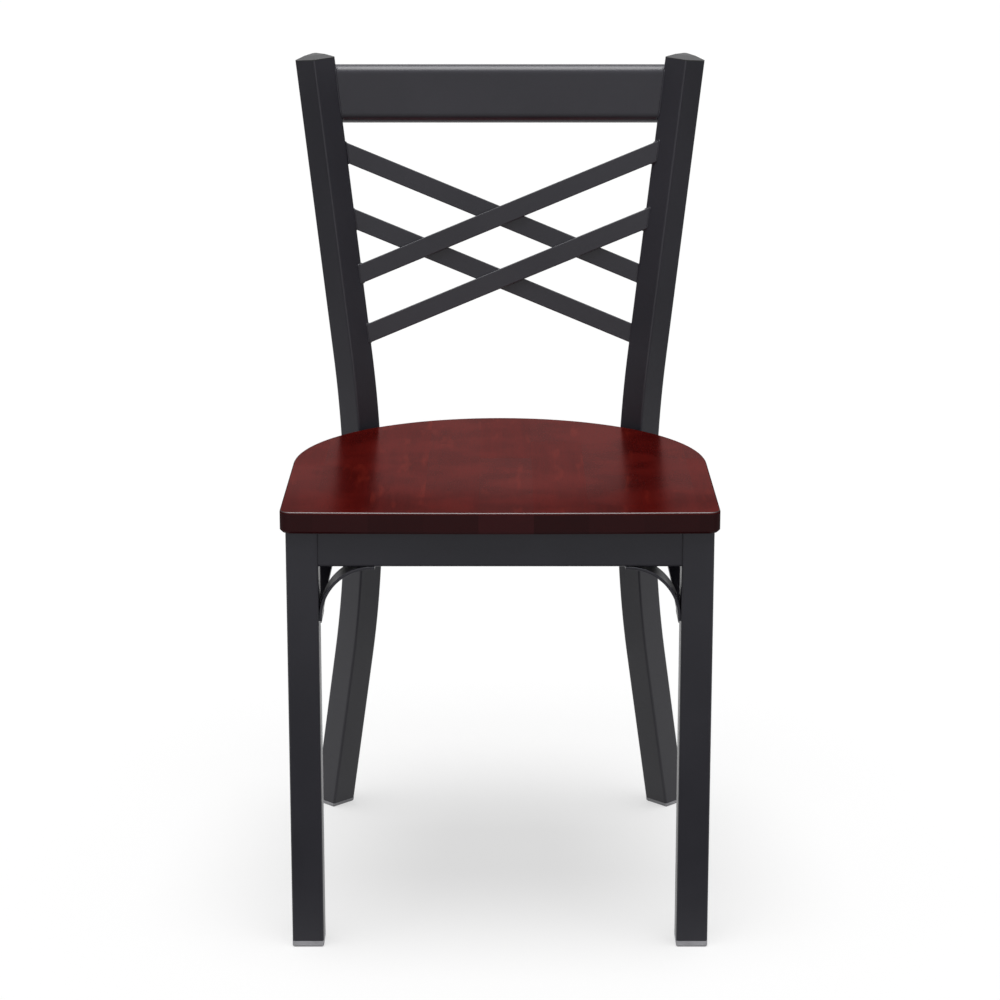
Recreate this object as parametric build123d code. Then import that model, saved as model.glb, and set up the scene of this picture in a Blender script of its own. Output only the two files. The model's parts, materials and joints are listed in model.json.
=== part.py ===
from build123d import *
import os
from math import atan, cos, degrees, radians, sin, sqrt, tan

# Cross-back dining chair: a welded frame of square steel tube, a cross of four flat bars in the back
# and a screwed-down wooden seat. Millimetres, +Z up. While it is modelled, the front of the front legs
# is at y = 0 and the chair faces -Y. At the end everything moves so that the origin is under the middle.

# Steel tube of the frame
tube = 31.75
tube_wall = 1.5
tube_corner = 2.4
weld_gap = 0.2            # room left where a piece is fitted round a bent tube

# Front legs and seat frame
front_width = 420.8       # across the outer faces of the front legs
seat_top = 457.0
seat_thick = 22.0
rail_tall = 35.5          # height of the rails, which are as wide as the tube
front_rail_setback = 2.0  # front rail behind the front faces of the legs

# Rear uprights, each bent in a vertical plane turned outwards from straight back
bend_plane_turn = 45.0
waist_half_width = 152.6  # centre of the tube where it is upright
waist_back = 394.9
waist_height = 371.3
bend_radius = 939.0
lean_upper = 9.9          # of the straight top stretch, in the bend plane
lean_lower = 11.24        # of the straight bottom stretch
upright_height = 852.0    # middle of the tube's top end
top_cut_out = 5.3         # slope of the cut across the top end, outwards and back
top_cut_back = 1.8

# Back
crest_height = 63.5
crest_thick = 22.0
crest_corner = 10.6
crest_wall = 1.5
crest_drop = 36.3         # middle of the crest rail below the top of the uprights, along the back
crest_proud = 2.0         # its front face in front of the inner corners of the uprights
bar_width = 20.3
bar_thick = 5.0
bar_slope = 22.4
bar_drop_upper = 170.0    # crossing of the upper bars below the top of the uprights
bar_drop_lower = 239.0
bar_bow = 8.0             # the bars curve back this far in the middle
bar_bow_span = 330.0

# Wooden seat
seat_overhang = 5.5       # outside the front legs, each side
seat_front_reach = 6.0    # in front of the front legs, at its corners
seat_front_bow = 3.5
seat_side_length = 211.5  # straight part of each side
seat_corner = 12.0
seat_top_round = 1.8
seat_bottom_bevel = 2.5

# Curved support bars under the seat frame
brace_thick = 3.0
brace_width = 36.0
brace_radius = 52.5       # outer face of the small front braces
brace_tail = 3.0          # straight ends that lie on the leg and the rail
arch_width = 33.0
arch_end_height = 336.0   # top face of the side arches at the front leg
arch_clear = 0.3          # under the side rail, at its crown

# Corner plates and screws that hold the seat
bracket_leg = 62.0
bracket_thick = 3.0
bracket_nose = 10.0
screw_share = 0.36        # of the bracket's leg, from its corner to the screw
screw_shank = 4.8
screw_head = 8.0          # across the flats
screw_head_height = 3.2
screw_reach = 16.0        # into the seat
screw_room = 0.15
bracket_hole = 6.0

# Plastic glides and caps
glide_rise_front = 6.5
glide_rise_rear = 4.5
glide_plug = 18.0
glide_edge = 1.5
plug_clear = 0.25
cap_edge = 1.2            # straight edge of the cap
cap_shoulder_rise = 4.2   # steeper lower part of its four slopes, and how far in it runs
cap_shoulder_run = 8.0
cap_crown_rise = 2.0      # flatter upper part, up to a small flat
cap_crown_run = 6.5
cap_plug = 16.0

# Sizes worked out from the ones above
half_tube = tube / 2
rail_top = seat_top - seat_thick
rail_mid = rail_top - rail_tall / 2
rail_bottom = rail_top - rail_tall
leg_x = front_width / 2 - half_tube
leg_inner = front_width / 2 - tube
outward = sin(radians(bend_plane_turn))
backward = cos(radians(bend_plane_turn))
back_lean = degrees(atan(tan(radians(lean_upper)) * backward))
seat_radius = front_width / 2 + seat_overhang
seat_front = -seat_front_reach
seat_round_y = seat_front + seat_side_length
below_floor = 60.0        # the uprights are made longer than they are, and cut
above_top = 15.0
reach = 1000.0            # longer than any piece, for cutting


def upright_point(side, offset, height):
    """Point of an upright's bend plane: offset is outwards and back from the waist."""
    return Vector(side * (waist_half_width + offset * outward), waist_back + offset * backward, height)


def upright_stretch(height):
    """Offset of an upright's middle line on its straight stretches and its bend."""
    above = height - waist_height
    lean = lean_upper if above > 0 else lean_lower
    bend_end = bend_radius * sin(radians(lean))
    inside = min(abs(above), bend_end)
    return bend_radius - sqrt(bend_radius**2 - inside**2) + (abs(above) - inside) * tan(radians(lean))


def upright_path(side):
    """Middle line of an upright, from under the floor to over its top: straight, one long bend, straight."""
    bend_low = waist_height - bend_radius * sin(radians(lean_lower))
    bend_high = waist_height + bend_radius * sin(radians(lean_upper))
    heights = (-below_floor, bend_low, bend_high, upright_height + above_top)
    foot, start, end, top = (upright_point(side, upright_stretch(h), h) for h in heights)
    bend = ThreePointArc(start, upright_point(side, 0, waist_height), end)
    return Wire([Line(foot, start).edge(), bend.edge(), Line(end, top).edge()])


def upright_solid(side, section):
    """A section carried along an upright's whole middle line, square to the bend plane."""
    path = upright_path(side)
    across = Vector(side * backward, -outward, 0)
    start = Plane(origin=path @ 0, x_dir=across, z_dir=path % 0)
    return sweep(start * section, path=path)


def above(height):
    """Everything over a level."""
    return Pos(0, 0, height + reach) * Box(2 * reach, 2 * reach, 2 * reach)


def below(height):
    """Everything under a level."""
    return Pos(0, 0, height - reach) * Box(2 * reach, 2 * reach, 2 * reach)


def tube_outline():
    return RectangleRounded(tube, tube, tube_corner)


def tube_bore():
    return Rectangle(tube - 2 * tube_wall, tube - 2 * tube_wall)


def along_x(section, length):
    """A section drawn across and up, carried along X, its middle at the origin."""
    return extrude(Plane.YZ * section, length / 2, both=True)


def rail_bar(length):
    """A length of the seat frame's rail along X."""
    outline = RectangleRounded(tube, rail_tall, tube_corner)
    return along_x(outline - Rectangle(tube - 2 * tube_wall, rail_tall - 2 * tube_wall), length)


def plug_outline():
    """Outline of a plug that slides into the tube."""
    return Rectangle(tube - 2 * tube_wall - 2 * plug_clear, tube - 2 * tube_wall - 2 * plug_clear)


def front_leg(side):
    section = tube_outline() - tube_bore()
    return Pos(side * leg_x, half_tube, glide_rise_front) * extrude(section, rail_top - glide_rise_front)


def rear_upright(side):
    wall = upright_solid(side, tube_outline()) - upright_solid(side, tube_bore())
    return wall & above(glide_rise_rear) & under_top(side)


def top_place(side):
    """Location of an upright's top end, Z out of the tube."""
    slope = Vector(side * tan(radians(top_cut_out)), tan(radians(top_cut_back)), 1).normalized()
    across = Vector(side * backward, -outward, 0)
    across = across - slope * across.dot(slope)
    top = upright_point(side, upright_stretch(upright_height), upright_height)
    return Plane(origin=top, x_dir=across, z_dir=slope).location


def under_top(side):
    """Everything under the cut across an upright's top."""
    return top_place(side) * Pos(0, 0, -reach) * Box(2 * reach, 2 * reach, 2 * reach)


def upright_room(side):
    """The space an upright takes up, with the weld gap, for fitting other pieces round it."""
    room = tube + 2 * weld_gap
    return upright_solid(side, RectangleRounded(room, room, tube_corner + weld_gap))


def glide_outline():
    """Outline of a glide: the tube's, with bevelled corners."""
    square = Rectangle(tube, tube)
    return chamfer(square.vertices(), tube_corner / 2)


def soften_foot(foot):
    """Bevel the edge that meets the floor."""
    return chamfer(foot.faces().sort_by(Axis.Z)[0].edges(), glide_edge)


def glide_front(side):
    foot = soften_foot(extrude(glide_outline(), glide_rise_front))
    plug = Pos(0, 0, glide_rise_front) * extrude(plug_outline(), glide_plug)
    return Pos(side * leg_x, half_tube, 0) * (foot + plug)


def glide_rear(side):
    foot = soften_foot(upright_solid(side, glide_outline()) & above(0) & below(glide_rise_rear))
    plug = upright_solid(side, plug_outline()) & above(glide_rise_rear) & below(glide_rise_rear + glide_plug)
    return foot + plug


def hip(width, rise, run):
    """Four slopes over a square, each running in from its edge as it rises."""
    return extrude(Rectangle(width, width), rise, taper=degrees(atan(run / rise)))


def top_cap(side):
    shoulder = Pos(0, 0, cap_edge) * hip(tube, cap_shoulder_rise, cap_shoulder_run)
    crown = hip(tube - 2 * cap_shoulder_run, cap_crown_rise, cap_crown_run)
    crown = Pos(0, 0, cap_edge + cap_shoulder_rise) * crown
    cover = extrude(Rectangle(tube, tube), cap_edge) + shoulder + crown
    cover = cover & extrude(tube_outline(), cap_edge + cap_shoulder_rise + cap_crown_rise)
    plug = upright_solid(side, plug_outline()) & under_top(side) & above(upright_height - cap_plug)
    return top_place(side) * cover + plug


def front_rail_place():
    return Pos(0, half_tube + front_rail_setback, rail_mid)


def front_rail():
    return front_rail_place() * rail_bar(2 * leg_inner)


def side_line(side):
    """Plan line of a side rail: start behind the front leg, and the upright's middle."""
    return Vector(side * leg_x, tube, 0), upright_point(side, upright_stretch(rail_mid), 0)


def along_side(side, height):
    """Location at a side rail's start, X along the rail towards the back."""
    start, end = side_line(side)
    heading = (end - start).normalized()
    return Plane(origin=start + Vector(0, 0, height), x_dir=heading, z_dir=(0, 0, 1)).location


def side_length(side):
    start, end = side_line(side)
    return (end - start).length


def behind_leg():
    """Everything behind the front legs."""
    return Pos(0, tube + reach, 0) * Box(2 * reach, 2 * reach, 2 * reach)


def side_rail_place(side, length):
    """Where a side rail's bar lies, reaching from inside the front leg to the upright's middle."""
    return along_side(side, rail_mid) * Pos(length / 2 - tube, 0, 0)


def side_rail(side):
    length = side_length(side) + tube
    bar = side_rail_place(side, length) * rail_bar(length)
    front = front_rail_place() * Box(2 * leg_inner, tube, rail_tall)
    return keep_front((bar & behind_leg()) - upright_room(side) - front)


def side_rail_room(side):
    """The space a side rail takes up, for fitting the rear rail against it."""
    length = side_length(side) + tube
    return side_rail_place(side, length) * Box(length, tube, rail_tall)


def keep_front(shape):
    """The piece of a cut rail on the chair's side of the upright."""
    return shape.solids().sort_by(SortBy.VOLUME)[-1]


def rear_rail():
    middle = upright_point(1, upright_stretch(rail_mid), rail_mid)
    bar = Pos(0, middle.Y, rail_mid) * rail_bar(2 * middle.X)
    for side in (-1, 1):
        bar = bar - upright_room(side) - side_rail_room(side)
    return keep_front(bar)


def side_arch(side):
    """A flat bar bent to one arc, from front leg to upright, its crown under the side rail."""
    length = side_length(side)
    crown = rail_bottom - arch_clear
    rise = crown - arch_end_height
    radius = ((length / 2)**2 + rise**2) / (2 * rise)
    ring = Circle(radius) - Circle(radius - brace_thick)
    arc = extrude(Plane.XZ * ring, arch_width / 2, both=True)
    arc = along_side(side, 0) * Pos(length / 2, 0, crown - radius) * arc
    arc = arc & behind_leg() & above(arch_end_height - rise) & Pos(0, waist_back - reach, 0) * Box(
        2 * reach, 2 * reach, 2 * reach)
    return keep_front(arc - upright_room(side))


def corner_brace(side):
    """A flat bar bent to a quarter circle, with short straight ends on the leg and the rail."""
    inner_radius = brace_radius - brace_thick
    bend = Circle(brace_radius) - Circle(inner_radius)
    bend = bend & Pos(-brace_radius / 2, brace_radius / 2) * Rectangle(brace_radius, brace_radius)
    leg_tail = Pos(brace_thick / 2 - brace_radius, -brace_tail / 2) * Rectangle(brace_thick, brace_tail)
    rail_tail = Pos(brace_tail / 2, brace_radius - brace_thick / 2) * Rectangle(brace_tail, brace_thick)
    bar = extrude(Plane.XZ * (bend + leg_tail + rail_tail), -brace_width)
    middle_x = -leg_inner + brace_radius
    bar = Pos(middle_x, front_rail_setback, rail_bottom - brace_radius) * bar
    return bar if side < 0 else mirror(bar, about=Plane.YZ)


def back_location():
    """Middle of the back at the top of the uprights: X across, Y up the back, Z to the front."""
    top = upright_point(1, upright_stretch(upright_height), upright_height)
    lean = radians(back_lean)
    return Plane(origin=(0, top.Y, top.Z), x_dir=(1, 0, 0), z_dir=(0, -cos(lean), sin(lean))).location


def between_uprights(shape):
    """Fit a piece of the back between the two uprights and keep its middle."""
    cut = shape - upright_room(1) - upright_room(-1)
    return cut.solids().sort_by(SortBy.VOLUME)[-1]


def top_rail():
    top = upright_point(1, upright_stretch(upright_height), upright_height)
    outline = RectangleRounded(crest_height, crest_thick, crest_corner)
    bore = offset(outline, -crest_wall)
    bar = along_x(outline - bore, 2 * top.X)
    bar = back_location() * Pos(0, -crest_drop, crest_proud - crest_thick / 2) * bar
    return between_uprights(bar)


def back_bar(direction, drop, layer):
    """One flat bar of the cross: direction 1 rises to +X, layer 0 is in front and 1 behind."""
    radius = ((bar_bow_span / 2)**2 + bar_bow**2) / (2 * bar_bow)
    outer = radius + layer * bar_thick
    sheet = Rot(90, 0, 0) * (Cylinder(outer, reach) - Cylinder(outer - bar_thick, reach))
    sheet = Pos(0, 0, radius - bar_bow) * sheet
    strip = Pos(0, -drop, 0) * Rot(0, 0, direction * bar_slope) * Box(reach, bar_width, 4 * tube)
    top = upright_point(1, upright_stretch(upright_height), upright_height)
    bar = sheet & strip & Box(2 * top.X, reach, 4 * tube)
    return between_uprights(back_location() * bar)


def seat_outline():
    left = Vector(-seat_radius, seat_front)
    right = Vector(seat_radius, seat_front)
    left_back = Vector(-seat_radius, seat_round_y)
    right_back = Vector(seat_radius, seat_round_y)
    edge = Wire([
        ThreePointArc(left, Vector(0, seat_front - seat_front_bow), right).edge(),
        Line(right, right_back).edge(),
        ThreePointArc(right_back, Vector(0, seat_round_y + seat_radius), left_back).edge(),
        Line(left_back, left).edge(),
    ])
    outline = make_face(edge)
    front_corners = outline.vertices().sort_by(Axis.Y)[:2]
    return fillet(front_corners, seat_corner)


def bracket_corner(side, end):
    """Inner corner of the seat frame, and the directions of the two rails that leave it."""
    start, stop = side_line(side)
    heading = (stop - start).normalized()
    inward = Vector(-side * heading.Y, side * heading.X, 0)
    inner = start + inward * half_tube
    front_face = tube + front_rail_setback
    middle = upright_point(side, upright_stretch(rail_mid), 0)
    rear_face = middle.Y - half_tube
    level = front_face if end == "front" else rear_face
    corner = inner + heading * ((level - inner.Y) / heading.Y)
    return corner, heading if end == "front" else -heading, Vector(-side, 0, 0)


def seat_bracket(side, end):
    """A corner plate welded inside the seat frame, its nose cut off, with one screw hole."""
    corner, along_rail, across = bracket_corner(side, end)
    nose = across * bracket_nose
    outline = Polyline(
        corner,
        corner + along_rail * bracket_leg,
        corner + along_rail * bracket_leg + nose,
        corner + across * bracket_leg + along_rail * bracket_nose,
        corner + across * bracket_leg,
        close=True,
    )
    plate = Pos(0, 0, rail_top) * extrude(make_face(outline), -bracket_thick, dir=(0, 0, 1))
    spot = screw_spot(side, end)
    hole = Pos(spot.X, spot.Y, rail_top) * Cylinder(bracket_hole / 2, 4 * bracket_thick)
    return plate - hole - upright_room(side)


def screw_spot(side, end):
    corner, along_rail, across = bracket_corner(side, end)
    return corner + (along_rail + across) * (bracket_leg * screw_share)


def every_screw():
    return [screw_spot(side, end) for end in ("front", "rear") for side in (-1, 1)]


def seat_screws():
    hexagon = RegularPolygon(screw_head / 2, 6, major_radius=False)
    head = Pos(0, 0, -screw_head_height) * extrude(hexagon, screw_head_height)
    screw = head + extrude(Circle(screw_shank / 2), bracket_thick + screw_reach)
    low = rail_top - bracket_thick
    return Compound([Pos(spot.X, spot.Y, low) * screw for spot in every_screw()])


def seat_panel():
    panel = Pos(0, 0, rail_top) * extrude(seat_outline(), seat_thick)
    panel = fillet(panel.faces().sort_by(Axis.Z)[-1].edges(), seat_top_round)
    panel = chamfer(panel.faces().sort_by(Axis.Z)[0].edges(), seat_bottom_bevel)
    for spot in every_screw():
        pilot = Cylinder(screw_shank / 2 + screw_room, 2 * (screw_reach + screw_room))
        panel = panel - Pos(spot.X, spot.Y, rail_top) * pilot
    return panel


sides = {"left": -1, "right": 1}
pieces = {
    "front_rail": front_rail(),
    "rear_rail": rear_rail(),
    "top_rail": top_rail(),
    "back_bar_front_upper": back_bar(1, bar_drop_upper, 0),
    "back_bar_front_lower": back_bar(1, bar_drop_lower, 0),
    "back_bar_rear_upper": back_bar(-1, bar_drop_upper, 1),
    "back_bar_rear_lower": back_bar(-1, bar_drop_lower, 1),
    "seat_panel": seat_panel(),
    "seat_screws": seat_screws(),
}
for name, side in sides.items():
    pieces["front_leg_" + name] = front_leg(side)
    pieces["rear_upright_" + name] = rear_upright(side)
    pieces["side_rail_" + name] = side_rail(side)
    pieces["side_arch_" + name] = side_arch(side)
    pieces["corner_brace_" + name] = corner_brace(side)
    pieces["glide_front_" + name] = glide_front(side)
    pieces["glide_rear_" + name] = glide_rear(side)
    pieces["top_cap_" + name] = top_cap(side)
    for end in ("front", "rear"):
        pieces["seat_bracket_" + end + "_" + name] = seat_bracket(side, end)

whole = Compound([Compound(piece.solids()) for piece in pieces.values()]).bounding_box()
to_origin = Pos(-whole.center().X, -whole.center().Y, -whole.min.Z)
os.makedirs("parts", exist_ok=True)
for name, piece in pieces.items():
    solids = (to_origin * piece).solids()
    shape = solids[0] if len(solids) == 1 else Compound(solids)
    export_step(shape, "parts/" + name + ".step")
print(len(pieces), "pieces, overall", whole.size, "origin moved by", to_origin.position)
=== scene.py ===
# %% [markdown]
# A metal dining chair, dressed for its portrait.
# The steel frame, the seat and the small fittings were modelled as solids in millimetres. This script loads
# them as a fixed frame, in metres, gives every surface its finish, and remakes the bent and rounded pieces
# as smooth meshes, because the solids arrive as flat triangles whose edges would show in the reflections.

# %% Load the chair
import json
from math import atan, cos, degrees, radians, sin, tan

import bpy
import numpy as np
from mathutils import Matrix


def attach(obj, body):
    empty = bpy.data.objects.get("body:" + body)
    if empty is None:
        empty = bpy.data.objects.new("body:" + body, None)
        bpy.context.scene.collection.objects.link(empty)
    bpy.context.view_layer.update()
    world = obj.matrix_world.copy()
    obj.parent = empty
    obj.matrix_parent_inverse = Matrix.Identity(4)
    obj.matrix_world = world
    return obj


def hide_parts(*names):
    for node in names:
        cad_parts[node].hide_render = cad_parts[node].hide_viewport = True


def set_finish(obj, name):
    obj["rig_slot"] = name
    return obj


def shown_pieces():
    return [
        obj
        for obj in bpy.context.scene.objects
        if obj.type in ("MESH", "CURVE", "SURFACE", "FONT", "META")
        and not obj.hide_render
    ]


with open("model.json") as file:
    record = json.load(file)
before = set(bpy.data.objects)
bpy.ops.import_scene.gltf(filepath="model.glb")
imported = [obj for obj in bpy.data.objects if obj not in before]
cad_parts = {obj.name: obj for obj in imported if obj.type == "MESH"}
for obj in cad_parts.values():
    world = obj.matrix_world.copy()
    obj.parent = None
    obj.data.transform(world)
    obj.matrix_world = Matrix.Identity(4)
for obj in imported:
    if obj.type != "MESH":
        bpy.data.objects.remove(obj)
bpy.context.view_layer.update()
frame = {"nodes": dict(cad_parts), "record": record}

# %% [markdown]
# The photograph was taken with a long lens, from a little above the seat and straight in front.
# A camera can be placed by eye until the picture looks right. Here its lens, height and distance were worked
# out from the tube's width and the seat's height in the picture, so that every other size can be compared.

# %% Camera
camera_tilt = 14.06
camera_data = bpy.data.cameras.new("camera")
camera_data.sensor_width = 36.0
camera_data.lens = 105.23
camera = bpy.data.objects.new("camera", camera_data)
camera.location = (0.0, -2.9961, 1.161)
camera.rotation_euler = (radians(90 - camera_tilt), 0.0, 0.0)
bpy.context.collection.objects.link(camera)
bpy.context.scene.camera = camera
bpy.context.scene.view_settings.view_transform = "Standard"
print("camera with a lens of", camera_data.lens, "mm")

# %% [markdown]
# Every new piece is a sheet of points with two parameters: rows run along the piece and columns run round
# it. One helper joins the points with four-sided faces, closes the sheet where the piece is closed, and
# marks the sharp edges, so flat faces stay flat and rounded ones look round.

# %% Sheets of points become pieces
sharp_edge = radians(38)


def join_grid(rows, columns, close_rows):
    """Faces of a grid whose columns close: each joins a point to the next row and the next column."""
    i = np.arange(rows if close_rows else rows - 1)[:, None]
    j = np.arange(columns)[None, :]
    next_i = (i + 1) % rows
    next_j = (j + 1) % columns
    corners = (i * columns + j, i * columns + next_j, next_i * columns + next_j, next_i * columns + j)
    return np.stack(np.broadcast_arrays(*corners), axis=-1).reshape(-1, 4)


def make_piece(name, points, slot, replaced=(), close_rows=False, caps=False):
    """A piece from points of shape (rows, columns, 3): columns close, and caps fill the two end rows."""
    rows, columns = points.shape[:2]
    faces = join_grid(rows, columns, close_rows).tolist()
    if caps:
        faces.append(list(range(columns - 1, -1, -1)))
        faces.append(list(range((rows - 1) * columns, rows * columns)))
    mesh = bpy.data.meshes.new(name)
    mesh.from_pydata(points.reshape(-1, 3).tolist(), [], faces)
    mesh.polygons.foreach_set("use_smooth", np.ones(len(faces), dtype=bool))
    mesh.update()
    mesh.set_sharp_from_angle(angle=sharp_edge)
    piece = bpy.data.objects.new(name, mesh)
    bpy.context.collection.objects.link(piece)
    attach(piece, "root")
    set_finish(piece, slot)
    if replaced:
        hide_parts(*replaced)
    print(name, len(faces), "faces")


print("edges sharper than", round(degrees(sharp_edge)), "degrees stay sharp")

# %% [markdown]
# Tubes and bars share one kind of section: a rectangle with round corners. A bevel could round them, but a
# section made by formula fits the solids exactly. Next to each round corner it has a point just inside the
# flat face, so the shading turns only at the corner.

# %% Rounded rectangle section


def rounded_section(width, height, corner, steps=6):
    """Outline of a rectangle, anticlockwise: four quarter circles, with a point beside each of their ends."""
    turn = np.linspace(0.0, np.pi / 2, steps + 1)
    flat = min(corner, width / 2 - corner, height / 2 - corner) * 0.25
    arc_x = np.concatenate([[corner], corner * np.cos(turn), [-flat]])
    arc_y = np.concatenate([[-flat], corner * np.sin(turn), [corner]])
    quarter = np.arange(4)[:, None] * np.pi / 2
    x = np.cos(quarter) * arc_x - np.sin(quarter) * arc_y
    y = np.sin(quarter) * arc_x + np.cos(quarter) * arc_y
    centre_x = np.array([1, -1, -1, 1])[:, None] * (width / 2 - corner)
    centre_y = np.array([1, 1, -1, -1])[:, None] * (height / 2 - corner)
    return np.stack([(x + centre_x).ravel(), (y + centre_y).ravel()], axis=-1)


print("a section has", len(rounded_section(0.030, 0.030, 0.002)), "points")

# %% [markdown]
# The rear uprights are square tubes, bent once over a long curve and turned so that a corner faces the
# front. A curve object with a bevel could make them, but its ends couldn't be cut to the slopes of the foot
# and the top. So the middle line is written out: straight, then an arc, then straight, in a vertical plane
# turned 45 degrees.

# %% Middle line of the rear uprights
tube = 0.031750
half_tube = tube / 2
front_to_middle = 0.22811
waist = np.array([0.1526, 0.3949 - front_to_middle, 0.3713])
bend_radius = 0.939
lean_upper = radians(9.9)
lean_lower = radians(11.24)
upright_top = 0.852
turned = np.array([np.sqrt(0.5), np.sqrt(0.5), 0.0])
across = np.array([np.sqrt(0.5), -np.sqrt(0.5), 0.0])
straight_up = np.array([0.0, 0.0, 1.0])


def upright_line(height):
    """Points and directions: the offset is R - sqrt(R^2 - h^2) in the bend, and an even slope beyond it."""
    rise = height - waist[2]
    lean = np.where(rise > 0, lean_upper, lean_lower)
    inside = np.minimum(np.abs(rise), bend_radius * np.sin(lean))
    offset = bend_radius - np.sqrt(bend_radius**2 - inside**2) + (np.abs(rise) - inside) * np.tan(lean)
    slope = np.sign(rise) * np.tan(np.arcsin(inside / bend_radius))
    plumb = np.stack([waist[0] + 0 * height, waist[1] + 0 * height, height], axis=-1)
    along = slope[:, None] * turned + straight_up
    return plumb + offset[:, None] * turned, along / np.linalg.norm(along, axis=-1, keepdims=True)


print("upright rises", round(upright_top - waist[2], 4), "m above its waist")

# %% [markdown]
# Each upright is an open tube: an outer wall that goes up and an inner wall that comes down again. Its foot
# is cut level and its top slopes outwards and back, so the end rings slide along the tube to those cuts.
# The left upright is the right one mirrored, with its points in the other order so that it faces outwards.

# %% Rear uprights
upright_foot = 0.0045
top_cut = np.array([tan(radians(5.3)), tan(radians(1.8)), 1.0])
tube_wall = 0.0015
outer_corner = 0.0024
inner_corner = 0.0009
mirror_x = np.array([-1.0, 1.0, 1.0])


def upright_wall(half, corner):
    """Rings of a rounded square carried up the middle line; the end rings slide along it to their cuts."""
    heights = np.concatenate([[upright_foot], np.linspace(0.02, 0.84, 63), [upright_top]])
    middle, along = upright_line(heights)
    other = np.cross(along, across)
    section = rounded_section(2 * half, 2 * half, corner)
    ring = section[None, :, 0, None] * across + section[None, :, 1, None] * other[:, None, :]
    points = middle[:, None, :] + ring
    drop = (upright_foot - points[0, :, 2]) / along[0, 2]
    points[0] += drop[:, None] * along[0]
    lift = ((middle[-1] - points[-1]) @ top_cut) / (along[-1] @ top_cut)
    points[-1] += lift[:, None] * along[-1]
    return points


outer_wall = upright_wall(half_tube, outer_corner)
inner_wall = upright_wall(half_tube - tube_wall, inner_corner)
right_shell = np.concatenate([outer_wall, inner_wall[::-1]])
left_shell = (right_shell * mirror_x)[:, ::-1]
make_piece("upright_tube_right", right_shell, "frame_steel", ["rear_upright_right"], close_rows=True)
make_piece("upright_tube_left", left_shell, "frame_steel", ["rear_upright_left"], close_rows=True)

# %% [markdown]
# The back leans with the uprights. Its pieces are laid out on a flat sheet, across, up and forward from the
# middle of the back's top, and then turned into place. Each runs out until it meets the upright: a point is
# inside the square tube once it has passed both inner faces, so halving the distance again and again finds
# where every line of the section enters the tube. This gives the coped ends that a fitter would cut.

# %% The back's own directions
back_top = upright_line(np.array([upright_top]))[0][0] * np.array([0.0, 1.0, 1.0])
back_lean = atan(tan(lean_upper) * np.sqrt(0.5))
back_right = np.array([1.0, 0.0, 0.0])
back_up = np.array([0.0, sin(back_lean), cos(back_lean)])
back_forward = np.array([0.0, -cos(back_lean), sin(back_lean)])
straight_stretch = 0.6
past_upright = 0.26
halvings = 40


def on_back(x, y, z):
    """Points of the chair from distances across, up and in front of the back's top."""
    return back_top + x[..., None] * back_right + y[..., None] * back_up + z[..., None] * back_forward


def depth_in_upright(points):
    """How far a point has passed the later of the tube's two inner faces: above zero, it is inside."""
    lower = upright_line(np.array([straight_stretch]))
    away = points * np.array([0.0, 1.0, 1.0]) + np.abs(points) * back_right - lower[0][0]
    other = np.cross(lower[1][0], across)
    return np.minimum(away @ across, away @ other) + half_tube


def run_to_upright(place, columns, side):
    """For each line of a section, the distance at which it enters the upright, found by halving."""
    near = np.zeros(columns)
    far = np.full(columns, past_upright)
    for step in range(halvings):
        middle = (near + far) / 2
        inside = depth_in_upright(place(side * middle)) > 0
        far = np.where(inside, middle, far)
        near = np.where(inside, near, middle)
    return side * near


def fitted_bar(place, columns, rows=49):
    """Rows of points between the two ends, each line of the section divided evenly."""
    left = run_to_upright(place, columns, -1)
    right = run_to_upright(place, columns, 1)
    share = np.linspace(0.0, 1.0, rows)[:, None]
    return place(left + (right - left) * share)


print("back leans", round(degrees(back_lean), 2), "degrees")

# %% [markdown]
# The top rail is a tube pressed flat, with round edges and flat front and back faces. Its large corner
# radius catches the overhead light as one long soft line, so the section has many steps there.

# %% Top rail
crest_height = 0.0635
crest_thick = 0.022
crest_corner = 0.0106
crest_drop = 0.0363
crest_proud = 0.002
crest_section = rounded_section(crest_height, crest_thick, crest_corner, steps=12)


def crest_place(distance):
    """A line of the top rail runs straight across the back."""
    up = crest_section[:, 0] - crest_drop
    forward = crest_section[:, 1] + crest_proud - crest_thick / 2
    return on_back(distance + 0 * up, up + 0 * distance, forward + 0 * distance)


crest_points = fitted_bar(crest_place, len(crest_section), rows=9)
make_piece("crest_tube", crest_points, "frame_steel", ["top_rail"], caps=True)

# %% [markdown]
# Four flat bars cross in two pairs. They are bowed back a little, as if cut from a sheet curved about an
# upright axis, and the bars that fall to the right lie one thickness behind those that rise to the right.
# A formula gives every point on that sheet, so the bars touch where they cross and don't run into each other.

# %% Crossed bars
bar_width = 0.0203
bar_thick = 0.005
bar_corner = 0.0009
bar_slope = radians(22.4)
bar_bow = 0.008
half_bow_span = 0.165
drop_upper = 0.170
drop_lower = 0.239
sheet_radius = (half_bow_span**2 + bar_bow**2) / (2 * bar_bow)
bar_section = rounded_section(bar_width, bar_thick, bar_corner, steps=4)


def bar_line(direction, drop, layer):
    """A function that gives the bar's points: the sheet is at R - bow - sqrt(R^2 - x^2) in front."""
    def place(distance):
        across_bar = bar_section[:, 0]
        in_front = bar_section[:, 1] + bar_thick / 2
        x = distance * cos(bar_slope) - direction * sin(bar_slope) * across_bar
        y = direction * sin(bar_slope) * distance + cos(bar_slope) * across_bar - drop
        layer_radius = sheet_radius + layer * bar_thick - in_front
        z = sheet_radius - bar_bow - np.sqrt(layer_radius**2 - x**2)
        return on_back(x, y, z)
    return place


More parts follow.
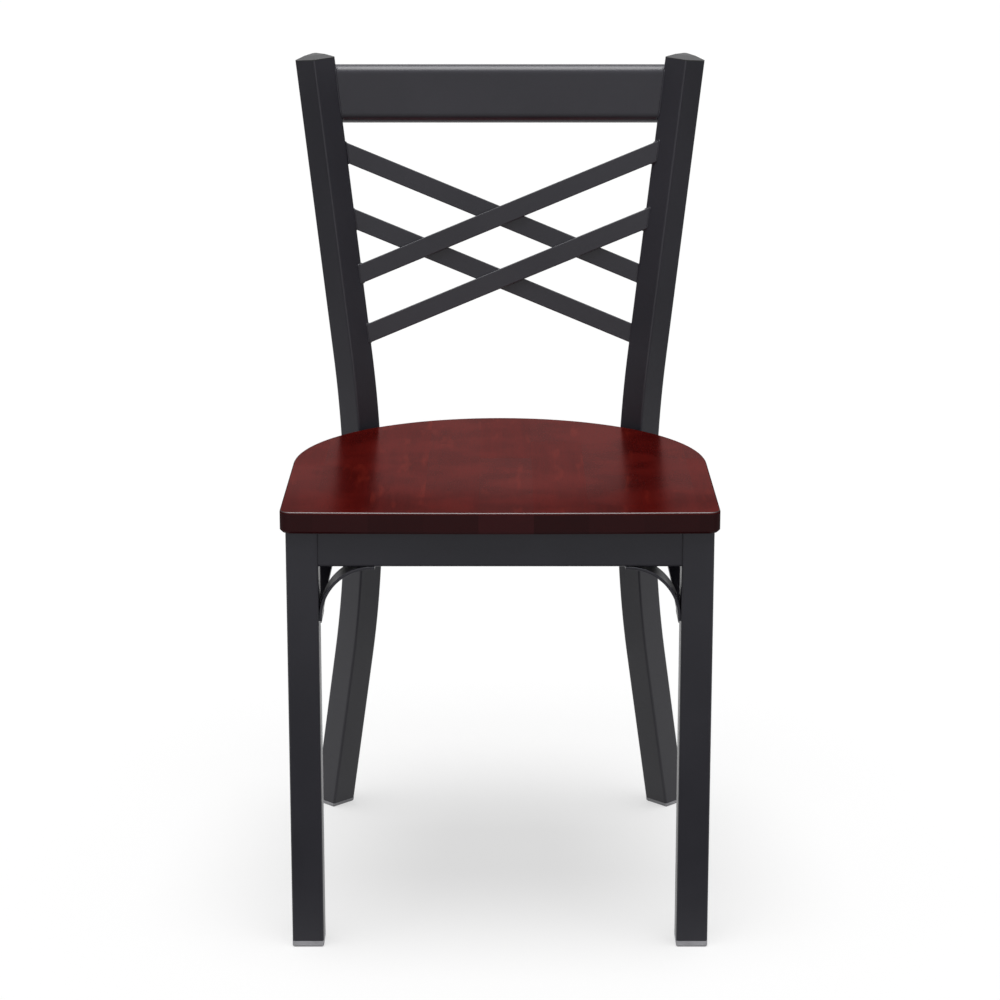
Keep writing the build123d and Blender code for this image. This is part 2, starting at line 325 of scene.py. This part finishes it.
bars = {
    "front_upper": (1, drop_upper, 0),
    "front_lower": (1, drop_lower, 0),
    "rear_upper": (-1, drop_upper, 1),
    "rear_lower": (-1, drop_lower, 1),
}
bar_points = {}
for name, (direction, drop, layer) in bars.items():
    place = bar_line(direction, drop, layer)
    bar_points[name] = fitted_bar(place, len(bar_section))
    make_piece("cross_bar_" + name, bar_points[name], "frame_steel", ["back_bar_" + name], caps=True)

# %% [markdown]
# Each joint in the frame is welded and ground a little, then painted over. What is left is a low, slightly
# rippled bead that follows the end of the bar round the tube. It is a thin tube carried along that loop,
# because a bump in the paint wouldn't show against the light.

# %% Weld beads
ripple_length = 0.003
ripple_share = 0.05
crest_bead = 0.0011
bar_bead = 0.0009


def weld_bead(name, loop, radius, reference):
    """A tube round a closed loop; its radius is r (1 + s sin(k t)), so it swells and shrinks in ripples."""
    before = np.roll(loop, 1, axis=0)
    after = np.roll(loop, -1, axis=0)
    length = np.cumsum(np.linalg.norm(loop - before, axis=-1))
    along = (after - before) / np.linalg.norm(after - before, axis=-1, keepdims=True)
    side = np.cross(along, reference)
    side = side / np.linalg.norm(side, axis=-1, keepdims=True)
    up = np.cross(along, side)
    turn = np.linspace(0.0, 2 * np.pi, 12, endpoint=False)[None, :, None]
    ripples = max(6, round(length[-1] / ripple_length))
    wave = np.sin(2 * np.pi * ripples * length / length[-1])
    swell = radius * (1 + ripple_share * wave)[:, None, None]
    points = loop[:, None, :] + swell * (np.cos(turn) * side[:, None, :] + np.sin(turn) * up[:, None, :])
    make_piece(name, points, "frame_steel", close_rows=True)


def even_loop(points, count):
    """The same closed loop with evenly spaced points, by interpolating along its length."""
    closed = np.concatenate([points, points[:1]])
    length = np.concatenate([[0.0], np.cumsum(np.linalg.norm(np.diff(closed, axis=0), axis=-1))])
    wanted = np.linspace(0.0, length[-1], count, endpoint=False)
    return np.stack([np.interp(wanted, length, closed[:, k]) for k in range(3)], axis=-1)


weld_bead("crest_weld_left", even_loop(crest_points[0], 260), crest_bead, back_right)
weld_bead("crest_weld_right", even_loop(crest_points[-1], 260), crest_bead, back_right)
for name, points in bar_points.items():
    left_loop = even_loop(points[0], 120)
    right_loop = even_loop(points[-1], 120)
    weld_bead("bar_weld_left_" + name, left_loop, bar_bead, points[0, 0] - points[1, 0])
    weld_bead("bar_weld_right_" + name, right_loop, bar_bead, points[-1, 0] - points[-2, 0])

# %% [markdown]
# Two small flat bars stiffen the front corners. Each is bent to a quarter circle, with a short straight end
# on the leg and another under the front rail. The section is carried along that line, its wide side from
# front to back, and the right brace is the left one mirrored.

# %% Corner braces
brace_width = 0.036
brace_thick = 0.003
brace_outer = 0.0525
brace_corner = 0.0007
brace_end = 0.003
brace_behind_front = 0.020
leg_inner = 0.17865
rail_bottom = 0.3995
brace_section = rounded_section(brace_width, brace_thick, brace_corner, steps=4)
brace_turn = np.linspace(np.pi, np.pi / 2, 33)
brace_angle = np.concatenate([[np.pi], brace_turn, [np.pi / 2]])
brace_tail = np.zeros((len(brace_angle), 2))
brace_tail[0, 1] = -brace_end
brace_tail[-1, 0] = brace_end


def brace_points():
    """The section's width lies along y and its thickness along the radius (cos t, sin t) of the bend."""
    radial = np.stack([np.cos(brace_angle), np.sin(brace_angle)], axis=-1)
    out = brace_outer - brace_thick / 2 + brace_section[:, 1]
    flat = radial[:, None, :] * out[None, :, None] + brace_tail[:, None, :]
    x = flat[..., 0] + brace_outer - leg_inner
    z = flat[..., 1] + rail_bottom - brace_outer
    y = np.broadcast_to(brace_section[:, 0] + brace_behind_front - front_to_middle, x.shape)
    return np.stack([x, y, z], axis=-1)


left_brace = brace_points()
right_brace = (left_brace * mirror_x)[:, ::-1]
make_piece("bent_brace_left", left_brace, "frame_steel", ["corner_brace_left"], caps=True)
make_piece("bent_brace_right", right_brace, "frame_steel", ["corner_brace_right"], caps=True)

# %% [markdown]
# The seat is a solid wooden board: a slightly bowed front, straight sides and a half-round back. The outline
# comes first, once round, with the direction that points straight out of the board at each of its points.

# %% Outline of the seat
seat_half = 0.2159
seat_front = -0.006 - front_to_middle
seat_round = seat_front + 0.2115
seat_corner = 0.012
front_bow = 0.0035


def seat_edge(count):
    """Outline points and outward directions: half circle, round corner, bowed front, round corner."""
    back_turn = np.linspace(0.0, np.pi, count)
    back_out = np.stack([np.cos(back_turn), np.sin(back_turn)], axis=-1)
    back = np.array([0.0, seat_round]) + seat_half * back_out
    bow_radius = (seat_half**2 + front_bow**2) / (2 * front_bow)
    bow_middle = seat_front - front_bow + bow_radius
    corner_x = -seat_half + seat_corner
    corner_y = bow_middle - np.sqrt((bow_radius - seat_corner)**2 - corner_x**2)
    lean = np.arcsin(-corner_x / (bow_radius - seat_corner))
    turn = np.linspace(np.pi, 1.5 * np.pi - lean, count // 8)
    left_out = np.stack([np.cos(turn), np.sin(turn)], axis=-1)
    left = np.array([corner_x, corner_y]) + seat_corner * left_out
    front_turn = np.linspace(-lean, lean, count // 2)[1:-1]
    front_out = np.stack([np.sin(front_turn), -np.cos(front_turn)], axis=-1)
    front = np.array([0.0, bow_middle]) + bow_radius * front_out
    flip = np.array([-1.0, 1.0])
    points = np.concatenate([back, left, front, left[::-1] * flip])
    return points, np.concatenate([back_out, left_out, front_out, left_out[::-1] * flip])


edge, outward = seat_edge(120)
print("seat outline of", len(edge), "points")

# %% [markdown]
# A profile is then carried along the outline, as a router would cut it: from the middle of the top out to
# the edge, over the small round, down the side, round the bevel and back under to the middle.

# %% Seat board
seat_top = 0.457
seat_low = 0.435
top_round = 0.0018
bevel = 0.0025
flat_step = 0.0004
side_step = 0.0006
quarter = np.linspace(0.0, np.pi / 2, 8)
round_in = top_round * (1 - np.sin(quarter))
round_up = seat_top - top_round * (1 - np.cos(quarter))
side_up = seat_top - top_round - side_step
profile_in = np.concatenate([[top_round + flat_step], round_in, [0.0, 0.0, bevel, bevel + flat_step]])
profile_up = np.concatenate([[seat_top], round_up, [side_up, seat_low + bevel, seat_low, seat_low]])
flat_ring = edge[None] - profile_in[:, None, None] * outward[None]
ring_height = np.broadcast_to(profile_up[:, None, None], flat_ring.shape[:2] + (1,))
seat_side = np.concatenate([flat_ring, ring_height], axis=-1)
seat_middle = np.array([0.0, seat_round - 0.02, 0.0])
shares = np.array([0.02, 0.3, 0.6, 0.85])[:, None, None]
level = np.array([1.0, 1.0, 0.0])
top_spread = (seat_side[0] - seat_middle) * level
under_spread = (seat_side[-1] - seat_middle) * level
top_rows = seat_middle + shares * top_spread + seat_top * straight_up
under_rows = seat_middle + shares[::-1] * under_spread + seat_low * straight_up
seat_points = np.concatenate([top_rows, seat_side, under_rows])[::-1]
make_piece("seat_board", seat_points, "seat_wood", ["seat_panel"], caps=True)

# %% [markdown]
# Shader maths reads better as sums than as a tangle of nodes. This small class wraps one socket: adding,
# subtracting, multiplying and dividing add Math nodes, and one method adds any other node.

# %% Sockets as expressions


class Shade:
    """One output socket of a material, with arithmetic."""

    def __init__(self, tree, socket=None):
        self.tree = tree
        self.socket = socket

    def node(self, kind, settings=None, sockets=None, out=0):
        """A node of that type: its settings first, then the values or links of its sockets."""
        made = self.tree.nodes.new(kind)
        for name, value in (settings or {}).items():
            setattr(made, name, value)
        for name, value in (sockets or {}).items():
            if isinstance(value, Shade):
                self.tree.links.new(value.socket, made.inputs[name])
            else:
                made.inputs[name].default_value = value
        return Shade(self.tree, made.outputs[out] if made.outputs else None)

    def other(self, out):
        """Another output of the same node."""
        return Shade(self.tree, self.socket.node.outputs[out])

    def math(self, operation, first, second=0.0):
        """A Math node of that operation on two values."""
        return self.node("ShaderNodeMath", {"operation": operation}, {0: first, 1: second})

    def mix(self, colour, second):
        """Colour where this value is 0 and the second colour where it is 1."""
        settings = {"data_type": "RGBA", "clamp_factor": True}
        return self.node("ShaderNodeMix", settings, {0: self, 6: colour, 7: second}, out=2)

    def smooth(self, low, high):
        """0 below low, 1 above high and an even S between them."""
        settings = {"interpolation_type": "SMOOTHSTEP"}
        return self.node("ShaderNodeMapRange", settings, {"Value": self, "From Min": low, "From Max": high})

    def floor(self):
        """The whole number at or below this value."""
        return self.math("FLOOR", self)

    def __add__(self, second):
        return self.math("ADD", self, second)

    def __radd__(self, first):
        return self.math("ADD", first, self)

    def __sub__(self, second):
        return self.math("SUBTRACT", self, second)

    def __rsub__(self, first):
        return self.math("SUBTRACT", first, self)

    def __mul__(self, second):
        return self.math("MULTIPLY", self, second)

    def __rmul__(self, first):
        return self.math("MULTIPLY", first, self)

    def __truediv__(self, second):
        return self.math("DIVIDE", self, second)

    def __rtruediv__(self, first):
        return self.math("DIVIDE", first, self)


print("sockets can be added and multiplied")

# %% [markdown]
# The finishes share a few short steps: an empty material, the place on the object that each shaded point
# has, soft noise, a bump and the surface shader. Noise that reads the object's own place needs no picture
# and no unwrapping, and it stays with the piece when the chair is moved.

# %% Helpers for finishes


def new_finish(name):
    """An empty material: its sheet of nodes, and the place on the object that each shaded point has."""
    material = bpy.data.materials.new(name)
    material.use_nodes = True
    material.node_tree.nodes.clear()
    sheet = Shade(material.node_tree)
    return material, sheet, sheet.node("ShaderNodeTexCoord", out="Object")


def split(sheet, vector):
    """The three parts of a vector."""
    x = sheet.node("ShaderNodeSeparateXYZ", sockets={"Vector": vector}, out="X")
    return x, x.other("Y"), x.other("Z")


def join(sheet, x, y, z=0.0):
    """A vector from its three parts."""
    return sheet.node("ShaderNodeCombineXYZ", sockets={"X": x, "Y": y, "Z": z})


def noise(sheet, vector, scale, detail=3.0, roughness=0.5):
    """Soft noise from 0 to 1 with about scale blobs in a metre."""
    sockets = {"Vector": vector, "Scale": scale, "Detail": detail, "Roughness": roughness}
    return sheet.node("ShaderNodeTexNoise", sockets=sockets)


def bumps(sheet, height, strength, distance):
    """Directions of a surface that is raised by height times distance."""
    sockets = {"Strength": strength, "Distance": distance, "Height": height}
    return sheet.node("ShaderNodeBump", sockets=sockets)


def coat(sheet, sockets):
    """The surface shader, joined to the material's output."""
    surface = sheet.node("ShaderNodeBsdfPrincipled", sockets=sockets)
    sheet.node("ShaderNodeOutputMaterial", sockets={"Surface": surface})


finishes = {}
print("finishes can be mixed")

# %% [markdown]
# The frame is powder coated in satin black. Powder flows out into a very fine orange peel, so the surface
# is even in colour and only its gloss and its height vary a little. It is a dark grey, not a pure black,
# because no real paint is, and a pure black would hide the shape.

# %% Black powder coat
material, sheet, place = new_finish("black powder coat")
cloud = noise(sheet, place, 9.0)
peel = noise(sheet, place, 1100.0, detail=1.0)
speck = noise(sheet, place, 2600.0, detail=0.0).smooth(0.62, 0.74)
base = cloud.smooth(0.3, 0.7).mix((0.0265, 0.0258, 0.0345, 1.0), (0.0330, 0.0322, 0.0420, 1.0))
base = (speck * 0.5).mix(base, (0.0480, 0.0475, 0.0530, 1.0))
bump = bumps(sheet, peel * 0.8 + cloud * 0.2, 0.10, 0.0003)
gloss = 0.28 + cloud * 0.06 + peel * 0.06
coat(sheet, {"Base Color": base, "Roughness": gloss, "Specular IOR Level": 0.40, "Normal": bump})
finishes["frame_steel"] = material
print("made", material.name)

# %% [markdown]
# The seat is glued from staves that run from front to back, each made of blocks end to end, then stained a
# deep mahogany red and varnished. A photograph of wood would repeat and would have to be unwrapped. Here
# every block gets a random tone, because each takes the stain a little differently, and its own piece of
# grain: long soft streaks, fine dark pores, a cloudy figure and a few warm flecks.

# %% Mahogany grain
material, sheet, place = new_finish("mahogany varnish")
x, y, z = split(sheet, place)
stave_width = 0.054
stave = ((x + 0.021) / stave_width).floor()
shift = sheet.node("ShaderNodeTexWhiteNoise", {"noise_dimensions": "1D"}, {"W": stave})
block = ((y + shift * 0.9) / (0.19 + shift * 0.12)).floor()
number = join(sheet, block, stave)
tone = sheet.node("ShaderNodeTexWhiteNoise", {"noise_dimensions": "2D"}, {"Vector": number})
grain_place = join(sheet, x * 70.0, y * 5.0 + tone * 40.0, z * 70.0)
streak = noise(sheet, grain_place, 1.0, detail=4.0, roughness=0.6)
pore_place = join(sheet, x * 900.0, y * 60.0 + tone * 90.0, z * 900.0)
pore = noise(sheet, pore_place, 1.0, detail=1.0).smooth(0.60, 0.72)
warm_place = join(sheet, x * 60.0, y * 11.0 + tone * 20.0, z * 60.0)
warm = noise(sheet, warm_place, 1.0, detail=2.0).smooth(0.58, 0.76)
cloud = noise(sheet, place, 15.0, detail=2.0)
base = streak.smooth(0.25, 0.75).mix((0.048, 0.0021, 0.0016, 1.0), (0.078, 0.0034, 0.0025, 1.0))
base = (tone * 0.65).mix(base, (0.034, 0.0015, 0.0014, 1.0))
base = (cloud.smooth(0.42, 0.66) * 0.55).mix(base, (0.098, 0.0056, 0.0038, 1.0))
base = (warm * 0.45).mix(base, (0.150, 0.0130, 0.0072, 1.0))
base = (pore * 0.22).mix(base, (0.016, 0.0011, 0.0012, 1.0))
bump = bumps(sheet, streak * 0.6 - pore * 0.2, 0.05, 0.0003)
print("grain in staves of", stave_width, "m")

# %% [markdown]
# The edges are end grain, which takes up more stain and goes nearly brown, and their brown is darker still,
# as painted shade on faces that the overhead light misses. A thin band along the front edge of the top gets
# a much stronger coat: a painted highlight that draws a thin bright line there. Under clear varnish the
# stained fibres themselves shine red, so a little of a red mirror is mixed into the top, a little more of it
# away from the front.

# %% Mahogany edges and varnish
side = 1.0 - z.smooth(0.4542, 0.4560)
# A thin band on the front round of the top: a painted highlight, drawn by a much stronger coat there.
highlight_rim = z.smooth(0.4554, 0.4560) * (1.0 - z.smooth(0.45670, 0.45698))
# This mask keeps the painted highlight to the front edge.
front = 1.0 - y.smooth(-0.226, -0.208)
# The edge brown is end-grain stain, made darker still as painted shade on the edges.
brown = tone.mix((0.014, 0.0016, 0.0022, 1.0), (0.045, 0.0068, 0.0086, 1.0))
base = side.math("MAXIMUM", side * 0.9, highlight_rim).mix(base, brown)
# A little varnish coat on the edges, plus the painted highlight band along the front.
coat_and_highlight = side * 0.06 + highlight_rim * front * 0.24
wood = sheet.node("ShaderNodeBsdfPrincipled", sockets={
    "Base Color": base, "Roughness": 0.45, "Specular IOR Level": 0.0, "Normal": bump,
    "Coat Weight": coat_and_highlight, "Coat IOR": 2.5, "Coat Roughness": 0.26})
fibre = sheet.node("ShaderNodeBsdfPrincipled", sockets={
    "Base Color": (0.55, 0.05, 0.035, 1.0), "Metallic": 1.0,
    "Roughness": 0.19 + cloud * 0.06, "Normal": bump})
lustre = 0.054 + cloud * 0.03 + tone * 0.016 + y.smooth(-0.21, -0.11) * 0.040
shine = (1.0 - side) * (1.0 - highlight_rim) * lustre
surface = sheet.node("ShaderNodeMixShader", sockets={0: shine, 1: wood, 2: fibre})
sheet.node("ShaderNodeOutputMaterial", sockets={"Surface": surface})
finishes["seat_wood"] = material
print("made", material.name)

# %% [markdown]
# The glides under the legs are moulded in mid grey plastic. They have a fine grain from the mould and are
# scuffed darker where they slide on the floor.

# %% Grey glides
material, sheet, place = new_finish("grey glide plastic")
cloud = noise(sheet, place, 60.0)
grain = noise(sheet, place, 1800.0, detail=1.0)
low = 1.0 - split(sheet, place)[2].smooth(0.0, 0.0025)
base = cloud.smooth(0.3, 0.7).mix((0.425, 0.422, 0.445, 1.0), (0.540, 0.537, 0.565, 1.0))
base = (low * cloud * 0.6).mix(base, (0.190, 0.186, 0.180, 1.0))
bump = bumps(sheet, grain, 0.12, 0.0002)
coat(sheet, {"Base Color": base, "Roughness": 0.48 + low * 0.2, "Normal": bump})
finishes["glide_plastic"] = material
print("made", material.name)

# %% [markdown]
# The caps on top of the uprights are moulded too, in black plastic that is duller than the powder coat.

# %% Black caps
material, sheet, place = new_finish("black cap plastic")
grain = noise(sheet, place, 1600.0, detail=1.0)
base = noise(sheet, place, 45.0).mix((0.022, 0.022, 0.024, 1.0), (0.032, 0.032, 0.034, 1.0))
bump = bumps(sheet, grain, 0.15, 0.0002)
dull = 0.42 + grain * 0.12
coat(sheet, {"Base Color": base, "Roughness": dull, "Specular IOR Level": 0.50, "Normal": bump})
finishes["cap_plastic"] = material
print("made", material.name)

# %% [markdown]
# The screws under the seat are zinc plated: a metal whose crystals differ a little in tone and gloss.

# %% Zinc screws
material, sheet, place = new_finish("zinc plating")
spangle = noise(sheet, place, 700.0, detail=2.0)
base = spangle.mix((0.46, 0.46, 0.47, 1.0), (0.62, 0.62, 0.60, 1.0))
coat(sheet, {"Base Color": base, "Metallic": 1.0, "Roughness": 0.28 + spangle * 0.16})
finishes["screw_steel"] = material
print("finishes:", sorted(finishes))

# %% [markdown]
# Every piece names the finish that it has on the real chair: the solids in their record, and the new pieces
# in the slot that they were given. So one loop over each can hand out the materials.

# %% Paint every piece
slot_of = {part["node"]: part["material_slot"] for part in frame["record"]["subparts"]}
for name, node in frame["nodes"].items():
    node.data.materials.clear()
    node.data.materials.append(finishes[slot_of[name]])
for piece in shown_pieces():
    if "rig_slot" in piece:
        piece.data.materials.append(finishes[piece["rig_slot"]])

# %% [markdown]
# The studio floor is a pale sheet that runs out of sight. To the camera it is lifted to white, and it keeps
# the chair's soft shadow. Black paint shows mostly what it reflects, so the floor in reflections is shaped
# as a studio's is: it falls off far to the sides and is lit best beside and behind the chair. Just in front
# of the chair it is painted nearly black in reflections, a painted shadow of the chair there, which darkens
# the front legs towards their feet.

# %% Floor
half_floor = 30
corners = [(-half_floor, -half_floor, 0), (half_floor, -half_floor, 0)]
corners += [(half_floor, half_floor, 0), (-half_floor, half_floor, 0)]
floor_mesh = bpy.data.meshes.new("floor")
floor_mesh.from_pydata(corners, [], [(0, 1, 2, 3)])
floor = bpy.data.objects.new("floor", floor_mesh)
bpy.context.collection.objects.link(floor)


def ray_kinds(sheet):
    """1 for a ray from the camera, and 1 for a ray that was reflected or went through something."""
    seen = sheet.node("ShaderNodeLightPath", out="Is Camera Ray")
    return seen, seen.math("MAXIMUM", seen.other("Is Glossy Ray"), seen.other("Is Transmission Ray"))


material, sheet, place = new_finish("pale floor")
seen, mirrored = ray_kinds(sheet)
x, y = split(sheet, place)[:2]
from_middle = x.math("ABSOLUTE", x)
beside = from_middle.smooth(1.3, 2.7)
behind = y.smooth(-0.5, -0.1)
before = (1.0 - behind) * (1.0 - from_middle.smooth(0.4, 0.9))
ahead = y.smooth(-3.0, -0.6) * before
close = y.smooth(-1.4, -0.5) * before
paint = beside.mix((0.44, 0.44, 0.44, 1.0), (0.26, 0.26, 0.26, 1.0))
# Painted shadow: in reflections the floor just in front of the chair is painted nearly black.
paint = (mirrored * close * 0.85).mix(paint, (0.04, 0.04, 0.04, 1.0))
reflected = (0.34 - 0.34 * ahead + 0.24 * behind) * (1.0 - beside)
lit = seen * (0.59 + 0.18 * beside) + mirrored * reflected
matt = sheet.node("ShaderNodeBsdfDiffuse", sockets={"Color": paint})
lift = sheet.node("ShaderNodeEmission", sockets={"Color": (1.0, 1.0, 1.0, 1.0), "Strength": lit})
both = sheet.node("ShaderNodeAddShader", sockets={0: matt, 1: lift})
sheet.node("ShaderNodeOutputMaterial", sockets={"Surface": both})
floor_mesh.materials.append(material)
print("floor of", 2 * half_floor, "m")

# %% [markdown]
# The surround is white to the camera. In reflections it is dimmer low down at the left and right, as a
# studio is beside its white sweep, which gives the turned tubes a darker side, and much brighter overhead,
# where the lamps hang, which draws the light line on the top rail and on the seat's edge.

# %% Surround
world = bpy.data.worlds.new("studio")
bpy.context.scene.world = world
world.use_nodes = True
world.node_tree.nodes.clear()
sheet = Shade(world.node_tree)
seen, mirrored = ray_kinds(sheet)
sideways, fore, up = split(sheet, sheet.node("ShaderNodeTexCoord", out="Generated"))
beside = sideways.math("ABSOLUTE", sideways).smooth(0.35, 0.80) * (1.0 - up.smooth(0.25, 0.65))
above = up.smooth(0.60, 0.90) * fore.smooth(-0.70, -0.40) * (1.0 - fore.smooth(0.10, 0.50))
strength = 0.35 + seen * 0.65 + mirrored * (0.65 - 0.74 * beside + 4.40 * above)
sky = sheet.node("ShaderNodeBackground", sockets={"Color": (1.0, 1.0, 1.0, 1.0), "Strength": strength})
sheet.node("ShaderNodeOutputWorld", sockets={"Surface": sky})
print("surround made")

# %% [markdown]
# One wide soft light hangs overhead. A large panel would do as well, but a distant lamp with a wide angle
# lights the top and the foot of the chair evenly. It is strong enough for a colour to show about as it is
# written.

# %% Overhead light
overhead = bpy.data.lights.new("overhead", "SUN")
overhead.angle = radians(40)
overhead.energy = 1.95
holder = bpy.data.objects.new("overhead", overhead)
holder.location = (0.0, -0.6, 3.0)
holder.rotation_euler = (radians(9), 0.0, 0.0)
bpy.context.collection.objects.link(holder)
print("light of strength", overhead.energy)
